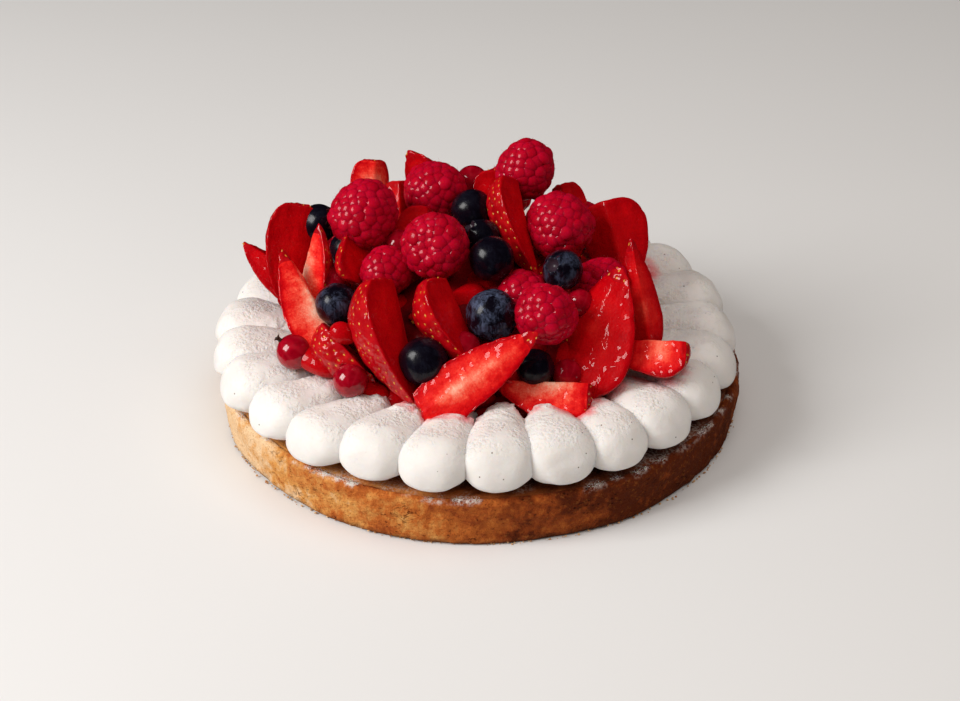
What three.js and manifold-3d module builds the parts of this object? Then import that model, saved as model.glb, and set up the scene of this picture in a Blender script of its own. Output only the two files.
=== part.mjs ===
// A fruit tart: a straight-sided crust with a baked filling, a border of piped
// cream and a heap of strawberry pieces and berries. Millimetres, +Z up.
// The origin is the middle of the flat underside; -Y is the front.
import * as THREE from "three";
import { mergeVertices } from "three/addons/utils/BufferGeometryUtils.js";
import Module from "manifold-3d";

const wasm = await Module();
wasm.setup();

// Driving dimensions
const CRUST_RADIUS = 100;
const CRUST_HEIGHT = 19;
const CRUST_WALL = 4;
const CRUST_BASE = 4;
const FILLING_TOP = 18.4;
const GAP = 0.3;

const DOLLOP_COUNT = 24;
const DOLLOP_LENGTH = 43;
const DOLLOP_WIDTH = 27.5;
const DOLLOP_HEIGHT = 19.5;
const DOLLOP_REACH = 100.2;      // from the ring's middle to the head's outer end
const DOLLOP_SWEEP = 6;         // how far a tail leans round the ring
const FRONT_BEARING = -85;      // degrees: the dollops stand closest together here
const DOLLOP_CROWDING = 5;      // degrees: the most that one is off an even spacing
const DOLLOP_SWELL = 0.2;       // how much taller the tallest dollops are
const TALL_BEARING = 40;        // degrees: where they stand
const RING_SHIFT = -2;          // the ring sits a little to the left of the crust

const BED_BOTTOM = FILLING_TOP + GAP;
const BED_HEIGHT = 44;
const BED_RADIUS = 52;

// Directions, to be blended by toward()
const LEFT = [-1, 0, 0];
const RIGHT = [1, 0, 0];
const FRONT = [0, -1, 0];
const BACK = [0, 1, 0];
const UP = [0, 0, 1];
const DOWN = [0, 0, -1];

// Strawberry pieces. stem and tip are the ends of the line where the cut faces
// meet, spread is the angle between the cut faces, faces is where the first cut
// face looks, and skin is the side of that face on which the skin lies.
const STRAWBERRIES = [
  { stem: [-66, 13, 75], tip: [-74, -4, 41], radius: 13, spread: 170, faces: [FRONT, FRONT, RIGHT, UP], skin: [LEFT] },
  { stem: [-62, 0, 48], tip: [-90, 12, 62], radius: 12, spread: 110, faces: [UP, FRONT], skin: [FRONT, DOWN] },
  { stem: [-48, -40, 41], tip: [-72, -12, 71], radius: 15, spread: 110, faces: [FRONT, UP, UP], skin: [LEFT] },
  { stem: [-70, -14, 45], tip: [-60, -5, 78], radius: 14, spread: 100, faces: [FRONT, UP, LEFT], skin: [RIGHT] },
  { stem: [-36, 2, 64], tip: [-50, -26, 68], radius: 13, spread: 180, faces: [RIGHT, UP, FRONT], skin: [LEFT] },
  { stem: [-31, -32, 68], tip: [-20, -62, 32], radius: 20, spread: 110, faces: [FRONT, RIGHT, RIGHT, UP], skin: [LEFT] },
  { stem: [-12, -32, 69], tip: [3, -55, 42], radius: 18, spread: 110, faces: [FRONT, RIGHT, RIGHT, UP], skin: [LEFT] },
  { stem: [-54, -33, 49], tip: [-37, -51, 38], radius: 13, spread: 180, faces: [BACK, UP], skin: [LEFT] },
  { stem: [-20, -69, 36], tip: [20, -59, 62], radius: 10.5, spread: 165, faces: [FRONT, RIGHT, UP, UP], skin: [LEFT, UP] },
  { stem: [38, -60, 42], tip: [4, -54, 40], radius: 15, spread: 100, faces: [UP, FRONT], skin: [FRONT, DOWN] },
  { stem: [29, -52, 37], tip: [50, -31, 73], radius: 20, spread: 140, faces: [FRONT, UP, UP], skin: [RIGHT] },
  { stem: [62, -32, 42], tip: [55, -12, 75], radius: 10.5, spread: 90, faces: [FRONT, RIGHT], skin: [RIGHT, BACK] },
  { stem: [47, 14, 77], tip: [56, -6, 50], radius: 16, spread: 115, faces: [FRONT, FRONT, RIGHT], skin: [RIGHT, BACK] },
  { stem: [73, -47, 51.5], tip: [43, -39, 48], radius: 14, spread: 95, faces: [UP, FRONT], skin: [FRONT, DOWN] },
  { stem: [-16, 24, 68], tip: [-28, 34, 89], radius: 12, spread: 180, faces: [FRONT, LEFT], skin: [LEFT] },
  { stem: [-40, 33, 85], tip: [-41, 20, 57], radius: 10, spread: 120, faces: [FRONT, UP], skin: [LEFT] },
  { stem: [-31, 28, 79], tip: [-30, 10, 54], radius: 10, spread: 90, faces: [FRONT, RIGHT], skin: [RIGHT] },
  { stem: [-20, 8, 78], tip: [-16, -12, 54], radius: 13, spread: 110, faces: [FRONT, UP], skin: [LEFT] },
  { stem: [14, 14, 86], tip: [22, -14, 60], radius: 15, spread: 120, faces: [FRONT, RIGHT, RIGHT, UP], skin: [LEFT] },
  { stem: [6, 24, 85], tip: [10, 10, 56], radius: 10, spread: 120, faces: [FRONT, UP], skin: [LEFT] },
  { stem: [31, 27, 78], tip: [36, 8, 52], radius: 9, spread: 120, faces: [FRONT, UP], skin: [RIGHT] },
  { stem: [24, 42, 66], tip: [38, 72, 40], radius: 15, spread: 120, faces: [BACK, UP], skin: [RIGHT] },
  { stem: [-8, 42, 74], tip: [0, 72, 44], radius: 16, spread: 130, faces: [BACK, UP], skin: [LEFT] },
  { stem: [-38, 48, 66], tip: [-54, 66, 40], radius: 15, spread: 120, faces: [BACK, LEFT, UP], skin: [LEFT] },
  { stem: [54, 24, 58], tip: [68, 40, 34], radius: 14, spread: 120, faces: [RIGHT, UP], skin: [FRONT] },
];

// Berries: at is the middle, and tip is where the rounded end or the flower scar points.
const RASPBERRIES = [
  { at: [-43, 2, 79], length: 27, width: 23, tip: [LEFT, FRONT, DOWN, DOWN] },
  { at: [-17, 22, 78], length: 24, width: 21, tip: [RIGHT, RIGHT, UP, FRONT] },
  { at: [-16, -16, 74], length: 24, width: 22, tip: [FRONT, FRONT, UP, LEFT] },
  { at: [18, 24, 86], length: 24, width: 20, tip: [UP, UP, RIGHT] },
  { at: [29, 2, 74], length: 26, width: 23, tip: [FRONT, DOWN, RIGHT] },
  { at: [-34.5, -20, 65], length: 19, width: 17, tip: [LEFT, FRONT] },
  { at: [24, -44.5, 60.5], length: 24, width: 20, tip: [UP, LEFT, FRONT] },
  { at: [45, -15, 57], length: 22, width: 20, tip: [RIGHT, UP] },
  { at: [16.5, -24.5, 57], length: 22, width: 19, tip: [LEFT, UP] },
  { at: [10, 54, 62], length: 24, width: 21, tip: [UP, RIGHT] },
  { at: [40, 45, 50], length: 24, width: 21, tip: [BACK, UP] },
  { at: [-58, 40, 50], length: 24, width: 21, tip: [LEFT, UP] },
];
const BLUEBERRIES = [
  { at: [-61, 16, 67], width: 15, tip: [LEFT, BACK] },
  { at: [-52, -28, 56], width: 16, tip: [BACK, RIGHT] },
  { at: [-20, -55, 48], width: 18, tip: [RIGHT, BACK] },
  { at: [4, -20, 70.5], width: 17, tip: [BACK, RIGHT] },
  { at: [4, -42, 60], width: 19, tip: [FRONT, DOWN, DOWN, RIGHT] },
  { at: [-3, 9, 76], width: 16, tip: [BACK] },
  { at: [1, -5, 71.5], width: 14, tip: [LEFT, UP] },
  { at: [30, -24, 68], width: 15, tip: [FRONT, UP, LEFT] },
  { at: [19.5, -52, 44], width: 14, tip: [DOWN] },
  { at: [-24, 54, 58], width: 17, tip: [BACK, UP] },
  { at: [-50, 9, 59], width: 14.5, tip: [BACK, UP] },
];
const CURRANTS = [
  { at: [-67, -38, 42], width: 13.5, tip: [LEFT, UP] },
  { at: [-46, -53, 39], width: 13, tip: [BACK] },
  { at: [-5.5, -49.5, 50.5], width: 12, tip: [FRONT, DOWN, LEFT] },
  { at: [-54, -12, 56], width: 13, tip: [LEFT, UP, UP] },
  { at: [-30, -4, 68], width: 12, tip: [BACK] },
  { at: [36, -30.5, 58], width: 10.5, tip: [BACK] },
  { at: [-3, 34, 76], width: 13, tip: [BACK] },
  { at: [31, -50, 40], width: 11, tip: [BACK] },
];

// Points and vectors

function toward(directions) {
  const sum = new THREE.Vector3();
  for (const direction of directions) sum.add(new THREE.Vector3(...direction));
  return sum.normalize();
}

function polar(radius, angle, height) {
  return new THREE.Vector3(radius * Math.cos(angle), radius * Math.sin(angle), height);
}

// Closed skins. A loft joins rings of points in order; its two ends close on a point each.

function loft(start, rings, end) {
  const around = rings[0].length;
  const points = [start, ...rings.flat(), end];
  const last = points.length - 1;
  const index = [];
  const at = (ring, step) => 1 + ring * around + (step % around);
  for (let step = 0; step < around; step += 1) {
    index.push(0, at(0, step + 1), at(0, step));
    index.push(last, at(rings.length - 1, step), at(rings.length - 1, step + 1));
    for (let ring = 0; ring + 1 < rings.length; ring += 1) {
      index.push(at(ring, step), at(ring, step + 1), at(ring + 1, step));
      index.push(at(ring, step + 1), at(ring + 1, step + 1), at(ring + 1, step));
    }
  }
  const geometry = new THREE.BufferGeometry();
  geometry.setAttribute("position", new THREE.Float32BufferAttribute(points.flatMap((p) => p.toArray()), 3));
  geometry.setIndex(index);
  return geometry;
}

function toManifold(geometry) {
  const bare = geometry.clone();
  bare.deleteAttribute("normal");
  bare.deleteAttribute("uv");
  const merged = mergeVertices(bare, 1e-4);
  const mesh = new wasm.Mesh({
    numProp: 3,
    vertProperties: new Float32Array(merged.getAttribute("position").array),
    triVerts: new Uint32Array(merged.index.array),
  });
  return new wasm.Manifold(mesh);
}

function fromManifold(solid) {
  const mesh = solid.getMesh();
  const geometry = new THREE.BufferGeometry();
  geometry.setAttribute("position", new THREE.BufferAttribute(mesh.vertProperties.slice(), 3));
  geometry.setIndex(new THREE.BufferAttribute(mesh.triVerts.slice(), 1));
  return geometry;
}

function pointsOf(geometry) {
  const position = geometry.getAttribute("position");
  return Array.from({ length: position.count }, (_, i) => new THREE.Vector3().fromBufferAttribute(position, i));
}

// The crust's hand-pressed unevenness, as a change of radius.
function crustWave(angle, height) {
  const slow = 0.45 * Math.sin(3 * angle + 0.8) + 0.3 * Math.sin(7 * angle + 2.1);
  return slow + 0.25 * Math.sin(11 * angle + 0.35 * height);
}

function crustGeometry() {
  const inner = CRUST_RADIUS - CRUST_WALL;
  const outline = [
    [0, 0], [CRUST_RADIUS - 3, 0], [CRUST_RADIUS - 1.8, 1.2], [CRUST_RADIUS - 0.7, CRUST_HEIGHT * 0.6],
    [CRUST_RADIUS - 0.8, CRUST_HEIGHT - 2], [CRUST_RADIUS - 1.7, CRUST_HEIGHT - 0.4],
    [CRUST_RADIUS - 2.8, CRUST_HEIGHT], [inner, CRUST_HEIGHT - 0.6],
    [inner, CRUST_BASE], [0, CRUST_BASE],
  ].map(([x, y]) => new THREE.Vector2(x, y));
  const geometry = new THREE.LatheGeometry(outline, 48).rotateX(Math.PI / 2);
  const position = geometry.getAttribute("position");
  pointsOf(geometry).forEach((point, i) => {
    const radius = Math.hypot(point.x, point.y);
    if (radius < inner + 0.5) return;
    const angle = Math.atan2(point.y, point.x);
    const wavy = polar(radius + crustWave(angle, point.z), angle, point.z);
    position.setXYZ(i, wavy.x, wavy.y, wavy.z);
  });
  return geometry;
}

function fillingGeometry() {
  const radius = CRUST_RADIUS - CRUST_WALL - GAP;
  const outline = [
    [0, CRUST_BASE + GAP], [radius, CRUST_BASE + GAP], [radius, FILLING_TOP - 0.6],
    [radius - 1.2, FILLING_TOP], [0, FILLING_TOP],
  ].map(([x, y]) => new THREE.Vector2(x, y));
  return new THREE.LatheGeometry(outline, 32).rotateX(Math.PI / 2);
}

// A piped dollop: a fat round head that narrows to a tail with a blunt peak.

function dollopWidth(s) {
  const head = 0.36;
  if (s < head) return (1 - ((head - s) / head) ** 2.5) ** 0.4;
  const tail = (s - head) / (1 - head);
  return (1 - 0.72 * tail ** 1.3) * Math.sqrt(1 - tail ** 10);
}

function dollopHeight(s) {
  const nose = Math.min(s / 0.32, 1);
  const end = Math.max((s - 0.8) / 0.2, 0);
  return Math.sqrt(1 - (1 - nose) ** 2) * (1 - 0.3 * s) * Math.sqrt(1 - 0.8 * end ** 3);
}

// A dollop's cross-section, as shares of its half-width and its height.
const DOLLOP_SECTION = [
  [-0.74, 0], [0.74, 0], [1.02, 0.36], [0.82, 0.78], [0.33, 1], [-0.33, 1], [-0.82, 0.78], [-1.02, 0.36],
];

function dollopGeometry(number, grow) {
  const even = (number / DOLLOP_COUNT) * 360;
  const crowding = DOLLOP_CROWDING * Math.sin(THREE.MathUtils.degToRad(even));
  const bearing = THREE.MathUtils.degToRad(FRONT_BEARING + even - crowding);
  const width = DOLLOP_WIDTH * (1 + 0.03 * Math.sin(2.4 * number));
  const swell = DOLLOP_SWELL * Math.max(Math.cos(bearing - THREE.MathUtils.degToRad(TALL_BEARING)), 0) ** 2;
  const height = DOLLOP_HEIGHT * (1 + 0.05 * Math.sin(1.7 * number + 1) + swell);
  const reach = DOLLOP_REACH + 0.8 * Math.sin(3.1 * number);
  const base = CRUST_HEIGHT + GAP;
  const place = (s, side, z) => {
    const across = side + DOLLOP_SWEEP * s ** 2;
    const point = polar(reach - DOLLOP_LENGTH * s, bearing, z);
    point.x += RING_SHIFT - across * Math.sin(bearing);
    point.y += across * Math.cos(bearing);
    return point;
  };
  const rings = [0.05, 0.22, 0.5, 0.9].map((s) =>
    DOLLOP_SECTION.map(([side, lift]) => place(
      s,
      -side * (0.5 * width * dollopWidth(s) + grow),
      base + height * dollopHeight(s) * lift + grow * lift,
    )));
  return loft(place(-grow / DOLLOP_LENGTH, 0, base + 0.25 * height), rings, place(1, 0, base + 0.3 * height));
}

function creamBorder(grow) {
  let ring = toManifold(dollopGeometry(0, grow));
  for (let number = 1; number < DOLLOP_COUNT; number += 1) {
    ring = ring.add(toManifold(dollopGeometry(number, grow)));
  }
  return ring;
}

// The buried middle of the heap: the fruit that carries the pieces on show.

function bedGeometry(grow) {
  const outline = [[1, 0.02], [1, 0.2], [1.04, 0.32], [1.12, 0.48], [0.98, 0.7], [0.62, 0.92]];
  const rings = outline.map(([wide, tall]) =>
    Array.from({ length: 12 }, (_, i) => {
      const angle = (i / 12) * 2 * Math.PI;
      const lump = 1 + 0.03 * Math.sin(4 * angle + 9 * tall);
      return polar(BED_RADIUS * wide * lump + grow, angle, BED_BOTTOM + BED_HEIGHT * tall + grow * tall);
    }));
  return loft(polar(0, 0, BED_BOTTOM), rings, polar(0, 0, BED_BOTTOM + BED_HEIGHT + grow));
}

// A strawberry's outline from stem (0) to tip (1), as a share of its widest radius.
function strawberryProfile(t) {
  const shoulder = 0.64 + 0.36 * Math.sin(Math.min(t / 0.28, 1) * Math.PI / 2);
  return shoulder * (1 - t ** 2.6) ** 0.85;
}

function strawberryGeometry(piece, grow) {
  const stem = new THREE.Vector3(...piece.stem);
  const axis = new THREE.Vector3(...piece.tip).sub(stem);
  const length = axis.length();
  axis.normalize();
  const faces = toward(piece.faces);
  faces.addScaledVector(axis, -faces.dot(axis)).normalize();
  const across = new THREE.Vector3().crossVectors(axis, faces);
  const hand = Math.sign(across.dot(toward(piece.skin)));
  across.multiplyScalar(hand);
  const spread = THREE.MathUtils.degToRad(piece.spread);
  const steps = Math.round(piece.spread / 36) + 1;
  const middle = across.clone().multiplyScalar(Math.cos(spread / 2)).addScaledVector(faces, -Math.sin(spread / 2));
  const place = (t, radius, angle) => stem.clone()
    .addScaledVector(axis, length * t)
    .addScaledVector(middle, -grow)
    .addScaledVector(across, radius * Math.cos(angle))
    .addScaledVector(faces, -radius * Math.sin(angle));
  const rings = [0, 0.22, 0.58, 0.88].map((t) => {
    const radius = piece.radius * strawberryProfile(t) + 2 * grow;
    const ring = Array.from({ length: steps }, (_, i) => place(t, radius, (i / (steps - 1)) * spread));
    ring.unshift(place(t, 0, 0));
    return hand > 0 ? ring : ring.reverse();
  });
  const cap = place(-0.03 - grow / length, 0.4 * piece.radius, spread / 2);
  return loft(cap, rings, place(1 + grow / length, 0.06 * piece.radius, spread / 2));
}

// A berry about its own axis: rings of points at the given shares of its length and width.
function berryGeometry(berry, length, around, outline, grow, bump) {
  const axis = toward(berry.tip);
  const turn = new THREE.Quaternion().setFromUnitVectors(new THREE.Vector3(0, 0, 1), axis);
  const place = (radius, angle, height) => polar(radius, angle, height)
    .applyQuaternion(turn)
    .add(new THREE.Vector3(...berry.at));
  const rings = outline.slice(1, -1).map(([wide, tall], ring) =>
    Array.from({ length: around }, (_, i) => {
      const angle = ((i + (ring % 2) / 2) / around) * 2 * Math.PI;
      return place((berry.width / 2) * wide * (1 + bump * (i % 2)) + grow, angle, (length / 2) * tall + grow * tall);
    }));
  const [bottom, top] = [outline[0], outline[outline.length - 1]];
  return loft(place(0, 0, (length / 2) * bottom[1] - grow), rings, place(0, 0, (length / 2) * top[1] + grow));
}

const RASPBERRY_OUTLINE = [[0, -0.92], [0.52, -0.96], [0.93, -0.62], [1, -0.12], [0.88, 0.36], [0.56, 0.8], [0, 1]];
const BLUEBERRY_OUTLINE = [[0, -0.93], [0.55, -0.8], [0.95, -0.35], [0.98, 0.25], [0.66, 0.74], [0.32, 0.97], [0, 0.8]];
const CURRANT_OUTLINE = [[0, -1], [0.68, -0.72], [1, -0.1], [0.76, 0.66], [0.16, 0.98], [0, 1.14]];

function raspberryGeometry(berry, grow) {
  return berryGeometry(berry, berry.length, 10, RASPBERRY_OUTLINE, grow, 0.06);
}

function blueberryGeometry(berry, grow) {
  return berryGeometry(berry, berry.width, 8, BLUEBERRY_OUTLINE, grow, 0);
}

function currantGeometry(berry, grow) {
  return berryGeometry(berry, berry.width, 8, CURRANT_OUTLINE, grow, 0);
}

// Assembly. Round berries keep their whole shape; strawberry pieces and the bed
// give way to them, and to each other, wherever they press together.

const tart = new THREE.Group();
tart.name = "fruit_tart";

function addPart(name, geometry, colour, roughness) {
  const material = new THREE.MeshStandardMaterial({ color: colour, roughness, metalness: 0 });
  const mesh = new THREE.Mesh(geometry, material);
  mesh.name = name;
  tart.add(mesh);
}

// The solid without its neighbours: what is left of it in one body, with no loose slivers.
function subtractTouching(solid, others) {
  let left = solid;
  for (const other of others) {
    if (left.intersect(other).volume() > 0) left = left.subtract(other);
  }
  const bodies = left.decompose();
  return bodies.reduce((most, body) => (body.volume() > most.volume() ? body : most));
}

function numbered(kind, index) {
  return `${kind}_${String(index + 1).padStart(2, "0")}`;
}

addPart("crust", crustGeometry(), 0xb07a45, 0.85);
addPart("baked_filling", fillingGeometry(), 0x6e4526, 0.8);
addPart("cream_border", fromManifold(creamBorder(0)), 0xf1ede6, 0.6);

const kept = [creamBorder(GAP)];
const kinds = [
  ["raspberry", RASPBERRIES, raspberryGeometry, 0xb01030, 0.5],
  ["blueberry", BLUEBERRIES, blueberryGeometry, 0x1c2233, 0.5],
  ["currant", CURRANTS, currantGeometry, 0x9c0c26, 0.15],
];
for (const [kind, berries, geometryOf, colour, roughness] of kinds) {
  berries.forEach((berry, index) => {
    addPart(numbered(kind, index), geometryOf(berry, 0), colour, roughness);
    kept.push(toManifold(geometryOf(berry, GAP)));
  });
}

const bed = toManifold(bedGeometry(0));
const grownBed = toManifold(bedGeometry(GAP));
addPart("fruit_bed", fromManifold(subtractTouching(bed, kept)), 0x6a0f16, 0.5);
kept.push(grownBed);
STRAWBERRIES.forEach((piece, index) => {
  const solid = subtractTouching(toManifold(strawberryGeometry(piece, 0)), kept);
  addPart(numbered("strawberry", index), fromManifold(solid), 0xd01a1c, 0.3);
  kept.push(toManifold(strawberryGeometry(piece, GAP)));
});

export default tart;
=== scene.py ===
"""Looks of the fruit tart: pastry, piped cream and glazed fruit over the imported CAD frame."""
import math
from functools import reduce

import bmesh
import bpy
import numpy as np
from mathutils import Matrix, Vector, kdtree, noise


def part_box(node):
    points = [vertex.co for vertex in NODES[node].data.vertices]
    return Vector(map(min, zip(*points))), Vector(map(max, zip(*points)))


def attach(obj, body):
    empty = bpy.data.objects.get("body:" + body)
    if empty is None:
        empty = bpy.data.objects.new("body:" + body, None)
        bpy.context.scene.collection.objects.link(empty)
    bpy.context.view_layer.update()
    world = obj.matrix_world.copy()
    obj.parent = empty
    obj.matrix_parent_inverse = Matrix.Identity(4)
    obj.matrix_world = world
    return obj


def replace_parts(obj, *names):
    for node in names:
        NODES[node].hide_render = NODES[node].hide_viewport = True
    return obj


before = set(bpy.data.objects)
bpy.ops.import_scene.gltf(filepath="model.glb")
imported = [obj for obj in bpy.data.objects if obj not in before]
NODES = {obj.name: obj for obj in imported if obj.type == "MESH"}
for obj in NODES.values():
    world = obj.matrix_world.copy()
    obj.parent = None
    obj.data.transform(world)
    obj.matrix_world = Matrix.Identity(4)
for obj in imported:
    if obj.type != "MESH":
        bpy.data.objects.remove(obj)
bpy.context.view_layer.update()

MM = 0.001

# Sizes the border of cream shares with the CAD part
DOLLOP_COUNT = 24
DOLLOP_LENGTH = 43 * MM
DOLLOP_WIDTH = 27.5 * MM
DOLLOP_HEIGHT = 19.5 * MM
DOLLOP_REACH = 100.2 * MM
DOLLOP_SWEEP = 6 * MM
DOLLOP_CROWDING = 5
DOLLOP_SWELL = 0.2
TALL_BEARING = 40
FRONT_BEARING = -85
RING_SHIFT = -2 * MM

# Where the pastry is coloured darkest and palest: partly a deeper bake, partly painted shade on the
# side turned away from the window light
DARK_BEARING = -26
PALE_BEARING = -138

# Strawberry seeds and cut edges
SEED_SPACING = 2.7 * MM
SEED_LENGTH = 1.65 * MM
PIT_RADIUS = 1.25 * MM
SEED_SINK = 0.12 * MM
PIT_DEPTH = 0.6 * MM
RIM_WIDTH = 1.1 * MM

# Raspberry beads and hairs
BEAD_RADIUS = 3.1 * MM
BEAD_RISE = 0.6
BEAD_SPACING = 3.5 * MM
GOLDEN_ANGLE = math.pi * (3 - math.sqrt(5))
HAIR_RADIUS = 0.035 * MM

# Where each kind of piece starts its random draws
DRAWS = {
    "strawberry": 500, "raspberry": 700, "currant": 900,
    "bed": 77, "slivers": 78, "back": 79, "sugar": 31, "crumbs": 33,
}

# Colours that more than one look uses
SUGAR_WHITE = (0.80, 0.75, 0.70)
WARM_WHITE = (1.0, 0.93, 0.87)


# -------- meshes

def add_mesh(name, points, faces, materials, smooth=True, slots=None, **attributes):
    """A new object; each attribute is one value for all the points or one for each."""
    mesh = bpy.data.meshes.new(name)
    mesh.from_pydata([tuple(p) for p in points], [], [tuple(f) for f in faces])
    for material in materials:
        mesh.materials.append(material)
    if slots is not None:
        mesh.polygons.foreach_set("material_index", np.asarray(slots, dtype=np.int32))
    mesh.polygons.foreach_set("use_smooth", np.full(len(mesh.polygons), smooth))
    for attribute, values in attributes.items():
        layer = mesh.attributes.new(attribute, "FLOAT", "POINT")
        layer.data.foreach_set("value", np.full(len(points), values, dtype=np.float32))
    piece = bpy.data.objects.new(name, mesh)
    bpy.context.scene.collection.objects.link(piece)
    return piece


class Bundle:
    """Many small meshes gathered into one, with a material slot and a value for each."""

    def __init__(self):
        self.parts = []
        self.faces = []
        self.slots = []
        self.values = []
        self.total = 0

    def add(self, points, faces, slot=0, value=0.0):
        self.parts.append(points)
        self.faces += [tuple(self.total + i for i in face) for face in faces]
        self.slots += np.full(len(faces), slot).tolist()
        self.values.append(np.full(len(points), value))
        self.total += len(points)

    def points(self):
        return np.concatenate(self.parts)

    def point_values(self):
        return np.concatenate(self.values)


def draws(kind, number=0):
    """The seeded random numbers of one piece."""
    return np.random.default_rng(DRAWS[kind] + number)


def declare(piece, slot, *nodes):
    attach(piece, "root")
    if nodes:
        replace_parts(piece, *nodes)


def grid_faces(rows, columns, offset=0):
    """Quads between closed rings of points; the last column joins the first."""
    faces = []
    for row in range(rows - 1):
        for column in range(columns):
            beside = (column + 1) % columns
            a = offset + row * columns
            b = a + columns
            faces.append((a + column, a + beside, b + beside, b + column))
    return faces


def lathe(profile, around):
    """Points and faces of a closed turned form; profile is [(radius, height)] from pole to pole."""
    points = [(0, 0, profile[0][1])]
    for radius, height in profile[1:-1]:
        for step in range(around):
            angle = 2 * math.pi * step / around
            points.append((radius * math.cos(angle), radius * math.sin(angle), height))
    points.append((0, 0, profile[-1][1]))
    rows = len(profile) - 2
    faces = grid_faces(rows, around, offset=1)
    last = len(points) - 1
    top = 1 + (rows - 1) * around
    for step in range(around):
        beside = (step + 1) % around
        faces.append((0, 1 + beside, 1 + step))
        faces.append((last, top + step, top + beside))
    return np.array(points), faces


def noise_at(points, size, octaves=3, seed=0):
    """Smooth noise between about -1 and 1 whose lumps are size metres wide."""
    shift = Vector((seed * 7.31, seed * 3.17, seed * 5.71))
    values = [
        noise.fractal(Vector(p) / size + shift, 0.9, 2.0, octaves, noise_basis="PERLIN_ORIGINAL")
        for p in points
    ]
    return np.array(values)


def point_normals(points, faces):
    """Area-weighted normals of a mesh given as points and faces."""
    mesh = bpy.data.meshes.new("scratch")
    mesh.from_pydata([tuple(p) for p in points], [], [tuple(f) for f in faces])
    normals = np.empty(len(points) * 3)
    mesh.vertex_normals.foreach_get("vector", normals)
    bpy.data.meshes.remove(mesh)
    return normals.reshape(-1, 3)


def unit(vector):
    return vector / np.linalg.norm(vector)


def axes_along(axis):
    """A right-handed frame whose third column is axis."""
    return np.array(Vector(axis).to_track_quat("Z", "Y").to_matrix())


def mesh_points(mesh):
    flat = np.empty(len(mesh.vertices) * 3)
    mesh.vertices.foreach_get("co", flat)
    return flat.reshape(-1, 3)


def node_points(node):
    """The node's distinct vertices, in metres."""
    return np.unique(np.round(mesh_points(NODES[node].data), 6), axis=0)


def smoothstep(low, high, values):
    t = np.clip((values - low) / (high - low), 0, 1)
    return t * t * (3 - 2 * t)


# -------- materials

class Shader:
    """A node material with short calls for the nodes that the looks below share."""

    def __init__(self, name, **settings):
        self.material = bpy.data.materials.new(name)
        self.material.use_nodes = True
        self.tree = self.material.node_tree
        self.bsdf = self.tree.nodes["Principled BSDF"]
        place = self.tree.nodes.new("ShaderNodeTexCoord")
        self.place = place.outputs["Object"]
        self.set(self.bsdf, settings)

    def set(self, node, inputs):
        for name, value in inputs.items():
            socket = node.inputs[name.replace("_", " ") if isinstance(name, str) else name]
            if isinstance(value, bpy.types.NodeSocket):
                self.tree.links.new(value, socket)
            else:
                socket.default_value = value

    def add(self, kind, properties, inputs):
        node = self.tree.nodes.new("ShaderNode" + kind)
        for name, value in properties.items():
            setattr(node, name, value)
        self.set(node, inputs)
        return node

    def attribute(self, name):
        return self.add("Attribute", {"attribute_name": name}, {}).outputs["Fac"]

    def noise(self, size, detail=3.0, roughness=0.55, distortion=0.0, vector=None):
        inputs = {"Vector": vector or self.place, "Scale": 1 / size, "Detail": detail,
                  "Roughness": roughness, "Distortion": distortion}
        return self.add("TexNoise", {}, inputs).outputs["Fac"]

    def cells(self, size, vector=None):
        inputs = {"Vector": vector or self.place, "Scale": 1 / size}
        return self.add("TexVoronoi", {}, inputs).outputs["Distance"]

    def stretch(self, scale):
        return self.add("Mapping", {}, {"Vector": self.place, "Scale": scale}).outputs["Vector"]

    def math(self, operation, a, b=0.0):
        return self.add("Math", {"operation": operation}, {0: a, 1: b}).outputs["Value"]

    def times(self, a, b):
        return self.math("MULTIPLY", a, b)

    def plus(self, a, b):
        return self.math("ADD", a, b)

    def minus(self, a, b):
        return self.math("SUBTRACT", a, b)

    def span(self, value, low, high, to_low=0.0, to_high=1.0):
        inputs = {"Value": value, "From Min": low, "From Max": high,
                  "To Min": to_low, "To Max": to_high}
        return self.add("MapRange", {"interpolation_type": "SMOOTHSTEP"}, inputs).outputs["Result"]

    def ramp(self, value, stops):
        node = self.add("ValToRGB", {}, {"Fac": value})
        elements = node.color_ramp.elements
        while len(elements) < len(stops):
            elements.new(0.5)
        for element, (position, colour) in zip(elements, stops):
            element.position = position
            element.color = (*colour, 1)
        return node.outputs["Color"]

    def mix(self, share, a, b, blend="MIX"):
        node = self.add("Mix", {"data_type": "RGBA", "blend_type": blend}, {})
        for index, value in ((0, share), (6, a), (7, b)):
            if isinstance(value, bpy.types.NodeSocket):
                self.tree.links.new(value, node.inputs[index])
            else:
                node.inputs[index].default_value = (*value, 1) if index else value
        return node.outputs[2]

    def bump(self, height, distance):
        inputs = {"Height": height, "Distance": distance, "Strength": 1.0}
        return self.add("Bump", {}, inputs).outputs["Normal"]

    def weighted(self, *terms):
        """The sum of (value, weight) pairs."""
        return reduce(self.plus, [self.times(*term) for term in terms])

    def finish(self, colour, rough, height=None, distance=0.0, **inputs):
        """The material, with relief from height, whose full depth is distance."""
        if height:
            inputs["Normal"] = self.bump(height, distance)
        self.set(self.bsdf, {"Base Color": colour, "Roughness": rough, **inputs})
        return self.material


def plain_material(name, size, detail, stops, roughness, **settings):
    """A material of two tones, mottled at the given size."""
    s = Shader(name, **settings)
    return s.finish(s.ramp(s.noise(size, detail), stops), roughness)


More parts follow.
